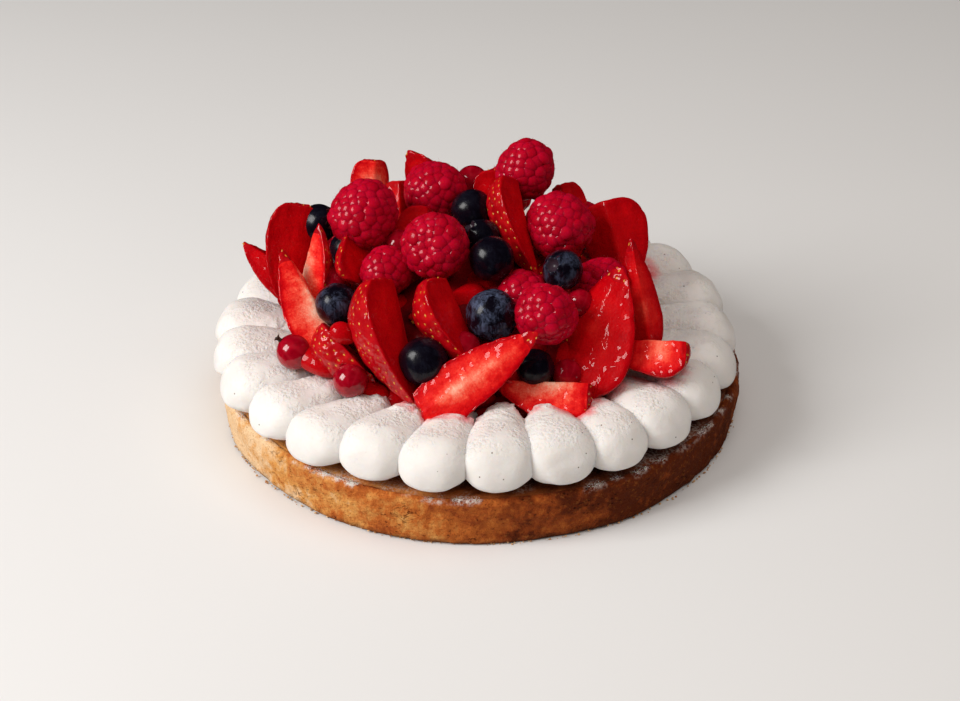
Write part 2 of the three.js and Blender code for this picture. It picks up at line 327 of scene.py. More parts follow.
def crust_material():
    """Pastry from pale gold to deep brown, as the attribute for the bake and painted shade goes
    from 0 to 1.
    """
    s = Shader("crust_pastry", Specular_IOR_Level=0.12)
    blotch = s.noise(13 * MM, 4, 0.6, 0.4)
    mottle = s.noise(4 * MM, 4, 0.65)
    grain = s.noise(1.5 * MM, 4, 0.7)
    sand = s.noise(0.6 * MM, 2, 0.6)
    patches = s.weighted((blotch, 1.1), (mottle, 0.9))
    tone = s.plus(s.attribute("browned"), s.minus(patches, 1.0))
    colour = s.ramp(tone, [
        (0.0, (0.86, 0.59, 0.34)), (0.25, (0.72, 0.33, 0.085)), (0.5, (0.53, 0.140, 0.024)),
        (0.75, (0.31, 0.060, 0.010)), (1.0, (0.12, 0.019, 0.0035))])
    crumb = s.mix(0.4, colour, (0.66, 0.26, 0.065))
    colour = s.mix(s.times(s.span(grain, 0.52, 0.72), 0.6), colour, crumb)
    sandy = s.times(s.span(sand, 0.56, 0.7), 0.7)
    colour = s.mix(sandy, colour, (0.50, 0.32, 0.22), "MULTIPLY")
    pores = s.span(s.cells(2.3 * MM, vector=s.stretch((1, 1, 1.6))), 0.24, 0.1)
    bands = s.noise(5 * MM, 3, 0.6, 0.5, s.stretch((1, 1, 1.8)))
    ridge = s.math("ABSOLUTE", s.minus(bands, 0.5))
    cracks = s.times(s.span(ridge, 0.022, 0.004), s.span(s.noise(9 * MM, 2), 0.6, 0.7))
    # Pores and cracks are sunk into the relief, and their colour is darkened as painted shade in
    # them, the more so on the darker side
    sunk_and_shaded = s.math("MAXIMUM", s.times(pores, s.span(mottle, 0.50, 0.60)), cracks)
    sunk_and_shaded = s.times(sunk_and_shaded, s.span(s.attribute("browned"), -0.1, 0.6, 0.3, 1.0))
    colour = s.mix(s.times(sunk_and_shaded, 0.85), colour, (0.35, 0.20, 0.13), "MULTIPLY")
    colour = s.mix(s.attribute("baked"), colour, (0.11, 0.035, 0.014))
    dust = s.times(s.attribute("sugar"), s.span(grain, 0.4, 0.6))
    colour = s.mix(dust, colour, SUGAR_WHITE)
    relief = s.minus(s.weighted((grain, 0.8), (sand, 0.35), (mottle, 1.1)), sunk_and_shaded)
    return s.finish(colour, s.span(grain, 0.3, 0.7, 0.7, 0.95), relief, 1.0 * MM)


def filling_material():
    s = Shader("browned_filling", Specular_IOR_Level=0.2)
    blotch = s.noise(6 * MM, 5, 0.65)
    grain = s.noise(0.9 * MM, 3, 0.6)
    tone = s.plus(s.attribute("browned"), s.minus(blotch, 0.5))
    colour = s.ramp(tone, [
        (0.0, (0.62, 0.26, 0.06)), (0.4, (0.42, 0.11, 0.02)),
        (0.7, (0.19, 0.042, 0.010)), (1.0, (0.08, 0.017, 0.006))])
    colour = s.mix(s.times(s.span(grain, 0.55, 0.75), 0.6), colour, (0.36, 0.14, 0.045))
    dust = s.times(s.attribute("sugar"), s.span(grain, 0.42, 0.6))
    colour = s.mix(dust, colour, SUGAR_WHITE)
    return s.finish(colour, s.span(blotch, 0.3, 0.7, 0.55, 0.85), grain, 0.6 * MM)


def cream_material():
    s = Shader(
        "piped_cream", Subsurface_Weight=0.4, Subsurface_Scale=5 * MM,
        Subsurface_Radius=(1.0, 0.75, 0.55), Specular_IOR_Level=0.25)
    tone = s.noise(9 * MM, 3, 0.5)
    colour = s.ramp(tone, [(0.3, (0.77, 0.735, 0.705)), (0.7, (0.82, 0.79, 0.765))])
    colour = s.mix(s.span(s.cells(5 * MM), 0.07, 0.04), colour, (0.14, 0.10, 0.08))
    stain = s.times(s.attribute("stain"), s.span(s.noise(5 * MM, 3, 0.5), 0.3, 0.6))
    colour = s.mix(stain, colour, (0.78, 0.12, 0.14))
    foam = s.times(s.span(s.noise(7 * MM, 3), 0.38, 0.56), s.attribute("rough"))
    bubbles = s.span(s.cells(1.5 * MM), 0.25, 0.08, 0.0, -0.25)
    curd = s.plus(bubbles, s.minus(s.noise(1.3 * MM, 3, 0.5), 0.45))
    relief = s.times(curd, s.plus(foam, 0.15))
    return s.finish(colour, s.span(tone, 0.3, 0.7, 0.45, 0.6), relief, 1.0 * MM)


def skin_material():
    s = Shader("strawberry_skin", Specular_IOR_Level=0.06, Coat_Weight=0.7, Coat_Roughness=0.06)
    blotch = s.noise(7 * MM, 3, 0.5)
    colour = s.ramp(blotch, [
        (0.25, (0.28, 0.0, 0.004)), (0.55, (0.43, 0.001, 0.006)), (0.8, (0.56, 0.004, 0.008))])
    colour = s.mix(s.times(s.attribute("pit"), 0.4), colour, (0.55, 0.010, 0.004))
    fuzz = s.noise(0.8 * MM, 3, 0.6)
    film = s.bump(s.noise(2.4 * MM, 1, 0.5), 0.6 * MM)
    rough = s.span(blotch, 0.3, 0.7, 0.3, 0.45)
    return s.finish(colour, rough, fuzz, 0.12 * MM, Coat_Normal=film)


def flesh_material():
    """Cut flesh: deep red at the rim, paler inwards by as much as the attribute core says."""
    s = Shader(
        "strawberry_flesh", Subsurface_Weight=0.15, Subsurface_Scale=2 * MM,
        Subsurface_Radius=(1.0, 0.15, 0.08), Specular_IOR_Level=0.05,
        Coat_Weight=0.4, Coat_Roughness=0.05)
    depth = s.attribute("depth")
    place = s.add("CombineXYZ", {}, {"X": s.attribute("along"), "Y": s.times(depth, 1.6 * MM)})
    fibres = s.minus(s.noise(1.3 * MM, 4, 0.6, 0.3, place.outputs["Vector"]), 0.5)
    cloud = s.minus(s.noise(5 * MM, 3, 0.55), 0.5)
    frost = s.minus(s.noise(0.7 * MM, 3, 0.7), 0.5)
    core = s.attribute("core")
    inward = s.times(s.math("POWER", depth, 1.5), 0.7)
    tone = s.times(core, s.plus(inward, 0.36))
    mottle = s.weighted((fibres, 0.22), (cloud, 0.6), (frost, 0.35))
    tone = s.plus(tone, s.times(mottle, s.plus(core, 0.4)))
    tone = s.minus(tone, s.times(s.attribute("rim"), 0.45))
    colour = s.ramp(tone, [
        (0.0, (0.40, 0.0, 0.003)), (0.25, (0.60, 0.002, 0.005)), (0.45, (0.78, 0.018, 0.014)),
        (0.62, (0.90, 0.085, 0.050)), (0.8, (0.95, 0.25, 0.16)), (1.0, (0.97, 0.52, 0.38))])
    wet = s.noise(1.0 * MM, 3, 0.6)
    relief = s.weighted((fibres, 0.3), (wet, 0.8), (frost, 0.3))
    film = s.bump(s.noise(4.5 * MM, 1, 0.5), 1.3 * MM)
    rough = s.span(wet, 0.35, 0.65, 0.25, 0.45)
    return s.finish(colour, rough, relief, 0.3 * MM, Coat_Normal=film)


def seed_material():
    stops = [(0.35, (0.52, 0.15, 0.012)), (0.6, (0.74, 0.37, 0.045))]
    return plain_material(
        "strawberry_seed", 2.2 * MM, 2, stops, 0.3, Coat_Weight=0.4, Coat_Roughness=0.15)


def raspberry_material():
    s = Shader(
        "raspberry_beads", Subsurface_Weight=0.35, Subsurface_Scale=2.5 * MM,
        Subsurface_Radius=(1.0, 0.06, 0.1), Specular_IOR_Level=0.05,
        Coat_Weight=0.35, Coat_Roughness=0.05)
    # The attribute tone holds painted shade in the creases between beads as well as each bead's own
    # tone
    tone = s.plus(s.attribute("tone"), s.times(s.noise(4 * MM, 3), 0.35))
    colour = s.ramp(tone, [
        (0.2, (0.17, 0.0, 0.003)), (0.6, (0.36, 0.0, 0.010)), (1.0, (0.52, 0.002, 0.024))])
    film = s.noise(0.35 * MM, 2, 0.6)
    return s.finish(colour, s.span(film, 0.3, 0.7, 0.4, 0.55), film, 0.05 * MM)


def hair_material():
    stops = [(0.3, (0.28, 0.02, 0.02)), (0.7, (0.50, 0.12, 0.09))]
    return plain_material("raspberry_hair", 3 * MM, 2, stops, 0.5)


def blueberry_material():
    s = Shader("blueberry_skin", Specular_IOR_Level=0.12, Coat_Weight=0.25, Coat_Roughness=0.15)
    bloom = s.noise(5 * MM, 5, 0.65, 0.6)
    rub = s.noise(1.3 * MM, 4, 0.7, 1.0, s.stretch((1, 1, 0.25)))
    cover = s.times(s.span(bloom, 0.4, 0.62), s.span(rub, 0.3, 0.65))
    cover = s.times(cover, s.attribute("bloom"))
    colour = s.mix(cover, (0.003, 0.002, 0.005), (0.075, 0.095, 0.165))
    colour = s.mix(s.attribute("scar"), colour, (0.035, 0.02, 0.03))
    return s.finish(colour, s.span(cover, 0.0, 0.8, 0.25, 0.65), rub, 0.1 * MM)


def currant_material():
    s = Shader(
        "currant_skin", Subsurface_Weight=0.1, Subsurface_Scale=2 * MM,
        Subsurface_Radius=(1.0, 0.08, 0.1), Specular_IOR_Level=0.2,
        Coat_Weight=0.6, Coat_Roughness=0.04)
    veins = s.attribute("vein")
    cloud = s.noise(3 * MM, 3, 0.5)
    colour = s.ramp(cloud, [(0.3, (0.22, 0.0, 0.006)), (0.7, (0.36, 0.001, 0.012))])
    colour = s.mix(s.times(veins, 0.2), colour, (0.6, 0.03, 0.05))
    return s.finish(colour, s.span(cloud, 0.3, 0.7, 0.12, 0.2), cloud, 0.05 * MM)


def calyx_material():
    stops = [(0.3, (0.02, 0.008, 0.006)), (0.7, (0.09, 0.035, 0.02))]
    return plain_material("currant_calyx", 0.6 * MM, 3, stops, 0.75)


def bed_material():
    # Deep red fruit, darkened to near black away from the middle of each cell: partly the fruit's
    # own colour, partly painted shade for the deep gaps between the toppings
    s = Shader("buried_fruit", Specular_IOR_Level=0.1, Coat_Weight=0.1, Coat_Roughness=0.2)
    colour = s.ramp(s.cells(12 * MM), [
        (0.15, (0.34, 0.002, 0.005)), (0.5, (0.22, 0.001, 0.004)), (0.85, (0.07, 0.001, 0.003))])
    fine = s.noise(1.2 * MM, 3)
    return s.finish(colour, s.span(fine, 0.3, 0.7, 0.35, 0.6), fine, 0.3 * MM)


def sugar_material():
    stops = [(0.3, (0.78, 0.73, 0.68)), (0.7, (0.9, 0.88, 0.86))]
    return plain_material(
        "icing_sugar", 2 * MM, 2, stops, 0.85, Subsurface_Weight=0.3, Subsurface_Scale=0.5 * MM)


def crumb_material():
    stops = [(0.35, (0.45, 0.19, 0.07)), (0.65, (0.72, 0.46, 0.24))]
    return plain_material("pastry_crumb", 3 * MM, 2, stops, 0.9, Specular_IOR_Level=0.1)


def floor_material():
    stops = [(0.3, (0.75, 0.75, 0.75)), (0.7, (0.77, 0.77, 0.77))]
    return plain_material("pale_floor", 400 * MM, 2, stops, 0.9, Specular_IOR_Level=0.2)


# -------- crust and filling

CRUST_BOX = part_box("crust")
CRUST_RADIUS = 100 * MM
CRUST_HEIGHT = CRUST_BOX[1].z
CRUST_WALL = 4 * MM
OUTLINE_STEP = 0.45 * MM
SUGAR_PATCH = 14 * MM
FILLING_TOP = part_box("baked_filling")[1].z


def crust_wave(angle, height):
    """How far the wall bulges out, in metres."""
    slow = 0.45 * np.sin(3 * angle + 0.8) + 0.3 * np.sin(7 * angle + 2.1)
    return (slow + 0.25 * np.sin(11 * angle + 350 * height)) * MM


def crust_outline():
    """The wall's section from the middle of the base, round the rim and back to the middle."""
    r = CRUST_RADIUS
    h = CRUST_HEIGHT
    corners = [
        (0.4 * r, 0), (r - 3 * MM, 0), (r - 1.8 * MM, 1.2 * MM), (r - 0.7 * MM, 0.6 * h),
        (r - 0.8 * MM, h - 2 * MM), (r - 1.7 * MM, h - 0.5 * MM), (r - 2.8 * MM, h - 0.1 * MM),
        (r - CRUST_WALL, h - 0.9 * MM), (r - CRUST_WALL, h - 4 * MM),
    ]
    outline = []
    for (r0, z0), (r1, z1) in zip(corners, corners[1:]):
        fine = max(1, round(math.hypot(r1 - r0, z1 - z0) / OUTLINE_STEP))
        steps = fine if r0 > 0.9 * r else 6
        for step in range(steps):
            t = step / steps
            outline.append((r0 + (r1 - r0) * t, z0 + (z1 - z0) * t))
    return [(0, 0)] + outline + [corners[-1], (0, h - 4 * MM)]


def browning_and_shade(angle):
    """How dark the pastry is, about 0 to 1, at a bearing round the tart: partly a deeper bake,
    partly painted shade, darkest on the side turned away from the window light.
    """
    once = 0.5 * np.cos(angle - math.radians(DARK_BEARING))
    twice = 0.13 * np.cos(2 * (angle - math.radians(PALE_BEARING)))
    return 0.47 + once - twice + 0.05 * np.sin(5 * angle)


def sugar_noise(points):
    return noise_at(points, SUGAR_PATCH, 3, 8)


def sugar_patches(points):
    return smoothstep(-0.02, 0.25, sugar_noise(points))


def polar(points):
    """The points' bearings and their distances from the middle axis."""
    return np.arctan2(points[:, 1], points[:, 0]), np.hypot(points[:, 0], points[:, 1])


def crust_relief(points):
    """Lumps, crumbled hollows and cracks of the wall, in millimetres."""
    lumps = 0.45 * noise_at(points, 8 * MM, 4, 1) + 0.16 * noise_at(points, 1.6 * MM, 3, 2)
    low_down = 1 - smoothstep(0.5 * MM, 4 * MM, points[:, 2])
    crumble = 0.7 * np.minimum(noise_at(points, 2.6 * MM, 3, 3), 0.1) * low_down
    lines = np.abs(noise_at(points * [1, 1, 0.55], 9 * MM, 3, 4))
    crack = 0.35 * (1 - smoothstep(0.0, 0.05, lines))
    crack = crack * smoothstep(0.1, 0.35, noise_at(points, 22 * MM, 2, 5))
    return lumps - 0.25 + crumble - crack


def make_crust(material):
    points, faces = lathe(crust_outline(), 900)
    angle, radius = polar(points)
    height = points[:, 2]
    outward = np.stack([np.cos(angle), np.sin(angle), 0 * angle], axis=1)
    wall = smoothstep(0.93 * CRUST_RADIUS, 0.965 * CRUST_RADIUS, radius)
    above = smoothstep(0, 1.5 * MM, height)
    relief = crust_relief(points)
    points = points + outward * (crust_wave(angle, height) * wall)[:, None]
    points += outward * (relief * MM * wall * (0.3 + 0.7 * above))[:, None]
    top = smoothstep(CRUST_HEIGHT - 1 * MM, CRUST_HEIGHT, height)
    points[:, 2] += top * (0.25 * noise_at(points, 3 * MM, 3, 6) - 0.1) * MM
    edge = 1 - smoothstep(0, 3.2 * MM, height + 0.8 * MM * noise_at(points, 3 * MM, 2, 7))
    dusted = smoothstep(CRUST_HEIGHT - 2.2 * MM, CRUST_HEIGHT - 0.4 * MM, height)
    # Less sugar dust on the darker side, so the painted shade there stays dark
    thin = 1 - 0.6 * smoothstep(0.45, 0.9, browning_and_shade(angle))
    piece = add_mesh(
        "crust_shell", points, faces, [material], baked=edge * 0.7,
        browned=browning_and_shade(angle) + 0.1 * top, sugar=sugar_patches(points) * dusted * thin)
    declare(piece, "crust", "crust")


def make_filling(material):
    inner = CRUST_RADIUS - CRUST_WALL - 0.4 * MM
    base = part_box("baked_filling")[0].z
    rings = [(inner * t, FILLING_TOP - 0.2 * MM) for t in np.linspace(0, 1, 70)]
    outline = [(0, base), (0.9 * inner, base), (inner, base)] + rings[::-1]
    points, faces = lathe(outline, 260)
    upper = points[:, 2] > FILLING_TOP - 1 * MM
    points[upper, 2] += 0.35 * MM * np.minimum(noise_at(points[upper], 5 * MM, 4, 9), 0.5)
    angle, radius = polar(points)
    near_rim = smoothstep(inner - 11 * MM, inner - 1 * MM, radius)
    # The filling takes the same painted shade on the side away from the window light, and is darker
    # inwards from the rim
    piece = add_mesh(
        "filling_top", points, faces, [material],
        browned=browning_and_shade(angle) - 0.2 + 0.5 * (1 - near_rim),
        sugar=0.3 * near_rim * sugar_patches(points))
    declare(piece, "baked_filling", "baked_filling")


# -------- cream

CREAM_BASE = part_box("cream_border")[0].z
SECTION_STEPS = 44
LENGTH_STEPS = 84


def dollop_width(s):
    """Width at a share s of the way from head to tail, as a share of the dollop's own width."""
    head = 0.36
    tail = np.clip((s - head) / (1 - head), 0, 1)
    front = (1 - np.clip((head - s) / head, 0, 1) ** 2.5) ** 0.4
    back = (1 - 0.72 * tail ** 1.3) * np.sqrt(np.maximum(1 - tail ** 10, 0))
    return np.where(s < head, front, back)


def dollop_height(s):
    nose = np.minimum(s / 0.32, 1)
    end = np.maximum((s - 0.8) / 0.2, 0)
    return np.sqrt(1 - (1 - nose) ** 2) * (1 - 0.3 * s) * np.sqrt(1 - 0.8 * end ** 3)


def dollop_points(number):
    """One dollop as rings of points from head to tail, with each point's share of the way."""
    even = 2 * math.pi * number / DOLLOP_COUNT
    bearing = math.radians(FRONT_BEARING - DOLLOP_CROWDING * math.sin(even)) + even
    width = DOLLOP_WIDTH * (1 + 0.03 * math.sin(2.4 * number))
    swell = DOLLOP_SWELL * max(math.cos(bearing - math.radians(TALL_BEARING)), 0) ** 2
    height = DOLLOP_HEIGHT * (1 + 0.05 * math.sin(1.7 * number + 1) + swell)
    reach = DOLLOP_REACH + 0.8 * MM * math.sin(3.1 * number)
    share = (1 - np.cos(np.linspace(0, math.pi, LENGTH_STEPS))) / 2
    s = np.clip(share, 1e-6, 1 - 1e-6)[:, None]
    turn = np.linspace(0, 2 * math.pi, SECTION_STEPS, endpoint=False)[None, :]
    side = np.sign(np.cos(turn)) * np.abs(np.cos(turn)) ** 0.86
    half = np.where(np.sin(turn) > 0, 0.56, 0.44)
    lift = 0.44 + half * np.sign(np.sin(turn)) * np.abs(np.sin(turn)) ** 0.8
    side = side * (1 - 0.2 * np.clip(0.35 - lift, 0, 1))
    across = 0.5 * width * dollop_width(s) * side + DOLLOP_SWEEP * s ** 2
    up = CREAM_BASE + height * (dollop_height(s) * lift + (1 - dollop_height(s)) * 0.25)
    along = reach - DOLLOP_LENGTH * s
    x = along * math.cos(bearing) + RING_SHIFT - across * math.sin(bearing)
    y = along * math.sin(bearing) + across * math.cos(bearing)
    points = np.stack([x, y, up + 0 * turn], axis=-1).reshape(-1, 3)
    return points, np.repeat(s, SECTION_STEPS, axis=1).reshape(-1)


def dollop_faces():
    faces = grid_faces(LENGTH_STEPS, SECTION_STEPS)
    faces.append(tuple(range(SECTION_STEPS)))
    start = (LENGTH_STEPS - 1) * SECTION_STEPS
    faces.append(tuple(range(start + SECTION_STEPS - 1, start - 1, -1)))
    return [tuple(reversed(face)) for face in faces]


def make_cream(material, fruit):
    faces = dollop_faces()
    for number in range(DOLLOP_COUNT):
        points, share = dollop_points(number)
        normals = point_normals(points, faces)
        rough = smoothstep(0.35, 0.85, share + 0.12 * noise_at(points, 9 * MM, 2, 20))
        swell = 0.55 * noise_at(points, 11 * MM, 2, number)
        swell += 0.12 * noise_at(points, 4 * MM, 2, number)
        wrinkle = 0.75 * noise_at(points, 3.2 * MM, 4, number + 40)
        peaks = 1.4 * smoothstep(0.35, 0.75, noise_at(points, 4.2 * MM, 2, number + 80))
        lift = (swell - 0.2) * smoothstep(0, 0.05, share) + rough * (wrinkle + peaks - 0.1)
        points = points + normals * (lift * MM)[:, None]
        points[:, 2] = np.maximum(points[:, 2], CREAM_BASE)
        near = distances(fruit, points)
        upward = smoothstep(0.1, 0.8, normals[:, 2]) * smoothstep(0.06, 0.25, share)
        piece = add_mesh(
            f"dollop_{number + 1:02d}", points, faces, [material],
            rough=np.maximum(0.6 * rough, upward),
            stain=0.9 * (1 - smoothstep(0.5 * MM, 6.0 * MM, near)))
        declare(piece, "cream")
        if number == 0:
            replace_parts(piece, "cream_border")


# -------- strawberries

# How pale the middle of a cut piece is, where it isn't red all through
RED_CORE = 0.22
CORES = {
    "strawberry_03": 1.0, "strawberry_04": 1.0, "strawberry_09": 0.75, "strawberry_10": 0.95,
    "strawberry_11": 0.32, "strawberry_12": 0.5, "strawberry_14": 0.72, "strawberry_16": 1.0,
    "strawberry_22": 0.7, "strawberry_24": 0.7,
}


def hull_of(points):
    """The convex hull as a bmesh, with its flat parts as single faces."""
    hull = bmesh.new()
    for point in points:
        hull.verts.new(point)
    made = bmesh.ops.convex_hull(hull, input=hull.verts)
    spare = set(made["geom_interior"] + made["geom_unused"])
    loose = [vert for vert in hull.verts if vert in spare]
    bmesh.ops.delete(hull, geom=loose, context="VERTS")
    bmesh.ops.dissolve_limit(hull, angle_limit=math.radians(2), verts=hull.verts, edges=hull.edges)
    bmesh.ops.recalc_face_normals(hull, faces=hull.faces)
    return hull


def extent(points):
    """The longest distance between any two of the points."""
    spread = points[:, None, :] - points[None, :, :]
    return math.sqrt((spread ** 2).sum(axis=2).max())


def cut_faces(hull):
    """The faces that a knife made: the flat ones that run most of the piece's length."""
    whole = extent(np.array([v.co for v in hull.verts]))
    found = set()
    for face in hull.faces:
        if len(face.verts) > 4 and extent(np.array([v.co for v in face.verts])) > 0.55 * whole:
            found.add(face)
    return found


def divided(scratch):
    graph = bpy.context.evaluated_depsgraph_get()
    return bpy.data.meshes.new_from_object(scratch.evaluated_get(graph))


def smooth_hull(node, levels):
    """A finely divided copy of a strawberry node: points, quads, and which quads are cut flesh.

    The cage is moved a few times so that the rounded form still reaches the node's corners.
    """
    hull = hull_of(node_points(node))
    flesh = cut_faces(hull)
    crease = hull.edges.layers.float.new("crease_edge")
    for face in hull.faces:
        face.material_index = 1 if face in flesh else 0
    for edge in hull.edges:
        cut = sum(face in flesh for face in edge.link_faces)
        edge[crease] = (0.0, 0.72, 0.85)[cut]
    mesh = bpy.data.meshes.new("scratch")
    hull.to_mesh(mesh)
    hull.free()
    scratch = bpy.data.objects.new("scratch", mesh)
    bpy.context.scene.collection.objects.link(scratch)
    divide = scratch.modifiers.new("divide", "SUBSURF")
    divide.levels = levels
    corners = mesh_points(mesh)
    cage = corners.copy()
    for _ in range(4):
        fine = divided(scratch)
        cage += corners - mesh_points(fine)[:len(corners)]
        mesh.vertices.foreach_set("co", cage.reshape(-1))
        mesh.update()
        bpy.data.meshes.remove(fine)
    fine = divided(scratch)
    points = mesh_points(fine)
    faces = [tuple(polygon.vertices) for polygon in fine.polygons]
    slots = np.array([polygon.material_index for polygon in fine.polygons])
    bpy.data.objects.remove(scratch)
    bpy.data.meshes.remove(mesh)
    bpy.data.meshes.remove(fine)
    return points, faces, slots


def tree_of(points):
    tree = kdtree.KDTree(len(points))
    for index, point in enumerate(points):
        tree.insert(point, index)
    tree.balance()
    return tree


def distances(tree, points):
    return np.array([tree.find(point)[2] for point in points])


def spaced(points, candidates, spacing, random):
    """Indices of candidates, in a random order, that keep the given distance from each other."""
    chosen = []
    for index in random.permutation(candidates):
        gaps = np.linalg.norm(points[chosen] - points[index], axis=1)
        if (gaps > spacing).all():
            chosen.append(index)
    return chosen


# A seed one unit long, pointed at one end
SEED_OUTLINE = [(0, -0.5), (0.16, -0.42), (0.25, -0.15), (0.22, 0.12), (0.11, 0.37), (0, 0.5)]


def seed_meshes(places, normals, axis, random):
    """Points and faces of all the seeds on one piece of strawberry."""
    form, form_faces = lathe(SEED_OUTLINE, 8)
    seeds = Bundle()
    for place, normal in zip(places, normals):
        along = unit(axis - normal * axis.dot(normal) + random.normal(0, 0.12, 3))
        side = unit(np.cross(normal, along))
        up = np.cross(along, side)
        size = SEED_LENGTH * random.uniform(0.85, 1.12)
        seed = form * [size, 0.8 * size, size]
        points = place - SEED_SINK * up + seed[:, [0]] * side
        points = points + seed[:, [1]] * up + seed[:, [2]] * along
        seeds.add(points, form_faces)
    return seeds.points(), seeds.faces


def press_pits(points, normals, seeds, is_skin=1):
    """The points with a pit at each seed, and how far into a pit each of them lies, 0 to 1."""
    if not seeds:
        return points, np.zeros(len(points))
    near = distances(tree_of(points[seeds]), points)
    pit = np.exp(-((near / PIT_RADIUS) ** 2)) * is_skin
    return points - normals * (PIT_DEPTH * pit)[:, None], pit


def main_axis(points):
    """The direction in which the points spread furthest."""
    centred = points - points.mean(axis=0)
    return np.linalg.eigh(centred.T @ centred)[1][:, 2]


def strawberry_zones(points, faces, slots):
    """Which points are skin, the skin's inner points, and each point's distance from a cut edge."""
    skin, flesh = (
        set(i for face, slot in zip(faces, slots) if slot == kind for i in face)
        for kind in (0, 1))
    is_skin = np.array([i in skin for i in range(len(points))])
    inward = np.full(len(points), 10 * MM)
    if skin & flesh:
        inward = distances(tree_of(points[sorted(skin & flesh)]), points)
    inner = [i for i in sorted(skin - flesh) if inward[i] > 1.0 * MM]
    return is_skin, inner, inward


def strawberry_lift(points, is_skin, inward, number):
    """How far each point of a piece swells outwards, in millimetres."""
    away = smoothstep(0.2 * MM, 2.2 * MM, inward)
    bulge = 0.45 * noise_at(points, 9 * MM, 2, number)
    bulge += 0.1 * noise_at(points, 2.5 * MM, 2, number + 30)
    fibre = 0.22 * noise_at(points, 2.2 * MM, 3, number + 60)
    fibre += 0.3 * noise_at(points, 7 * MM, 2, number + 90)
    return np.where(is_skin, bulge * away, fibre)


def make_strawberry(node, materials, number):
    random = draws("strawberry", number)
    points, faces, slots = smooth_hull(node, 4)
    is_skin, inner, inward = strawberry_zones(points, faces, slots)
    axis = main_axis(points)
    normals = point_normals(points, faces)
    depth = np.where(is_skin, 0, inward)
    edge = np.where(is_skin, 0, np.exp(-((depth / RIM_WIDTH) ** 2)))
    depth = depth / max(depth.max(), 5 * MM)
    lift = strawberry_lift(points, is_skin, inward, number)
    points = points + normals * (lift * MM)[:, None]

    seeds = spaced(points, inner, SEED_SPACING, random)
    points, pit = press_pits(points, normals, seeds, is_skin)
    whole = Bundle()
    whole.add(points, faces, slots)
    if seeds:
        whole.add(*seed_meshes(points[seeds], normals[seeds], axis, random), slot=2)
    points = whole.points()
    on_seeds = (0, len(points) - len(pit))
    piece = add_mesh(
        f"{node}_piece", points, whole.faces, materials, slots=whole.slots,
        pit=np.pad(pit, on_seeds), depth=np.pad(depth, on_seeds), rim=np.pad(edge, on_seeds),
        along=points @ axis, core=CORES.get(node, RED_CORE))
    declare(piece, "strawberry", node)


# -------- round berries

def berry_frame(node):
    """Middle, axis towards the crowded end, half-length and half-width of a berry node."""
    points = node_points(node)
    middle = (points.min(axis=0) + points.max(axis=0)) / 2
    axis = main_axis(points)
    reach = (points - middle) @ axis
    if (points.mean(axis=0) - middle) @ axis < 0:
        axis = -axis
        reach = -reach
    middle = middle + axis * (reach.max() + reach.min()) / 2
    across = (points - middle) - np.outer((points - middle) @ axis, axis)
    return middle, axis, (reach.max() - reach.min()) / 2, np.linalg.norm(across, axis=1).max()


def placed(points, middle, axis):
    return points @ axes_along(axis).T + middle


RASPBERRY_OUTLINE = [
    (0.0, -0.92), (0.52, -0.96), (0.93, -0.62), (1.0, -0.12), (0.88, 0.36), (0.56, 0.8), (0.0, 1.0),
]
RASPBERRY_CORE = [(0, -0.86), (0.5, -0.8), (0.8, -0.3), (0.74, 0.3), (0.4, 0.74), (0, 0.84)]
HAIR_RINGS = 5


def outline_at(outline, share):
    """A point at a share of the way along an outline, by its length."""
    corners = np.array(outline)
    lengths = np.linalg.norm(np.diff(corners, axis=0), axis=1)
    marks = np.concatenate([[0], np.cumsum(lengths)]) / lengths.sum()
    return np.interp(share, marks, corners[:, 0]), np.interp(share, marks, corners[:, 1])


def bead_form():
    outline = [(math.sin(t), -math.cos(t)) for t in np.linspace(0, math.pi, 9)]
    outline[0] = (0, -1)
    outline[-1] = (0, 1)
    return lathe(outline, 12)


def spiral_places(outline, half_width, half_length, spacing, random):
    """Points spread evenly over a turned form along a spiral, each with its outward direction."""
    wide, tall = outline_at(outline, np.linspace(0.04, 1, 160))
    radii = wide * half_width
    heights = tall * half_length
    runs = np.gradient(radii)
    rises = np.gradient(heights)
    area = np.cumsum(2 * math.pi * radii * np.hypot(runs, rises))
    count = round(area[-1] / (0.87 * spacing ** 2))
    places = []
    for number in range(count):
        covered = (number + 0.5) / count * area[-1]
        radius, height, run, rise = (
            np.interp(covered, area, each) for each in (radii, heights, runs, rises))
        angle = GOLDEN_ANGLE * number + random.uniform(-0.1, 0.1)
        across = np.array([math.cos(angle), math.sin(angle)])
        outward = unit(np.array([*rise * across, -run]))
        places.append((np.array([*radius * across, height]), outward))
    return places


def hair_mesh(start, outward, random):
    """A fine bent hair as three-sided rings."""
    side = unit(np.cross(outward, random.normal(0, 1, 3)))
    length = random.uniform(0.7, 1.5) * MM
    bend = random.uniform(0.3, 0.9)
    points = []
    for t in np.linspace(0, 1, HAIR_RINGS):
        centre = start + length * (t * outward + bend * t ** 2 * side)
        radius = HAIR_RADIUS * (1 - 0.75 * t)
        for turn in (0, 2.09, 4.19):
            spoke = math.cos(turn) * side + math.sin(turn) * np.cross(outward, side)
            points.append(centre + radius * spoke)
    end = len(points) - 3
    return np.array(points), grid_faces(HAIR_RINGS, 3) + [(2, 1, 0), (end, end + 1, end + 2)]


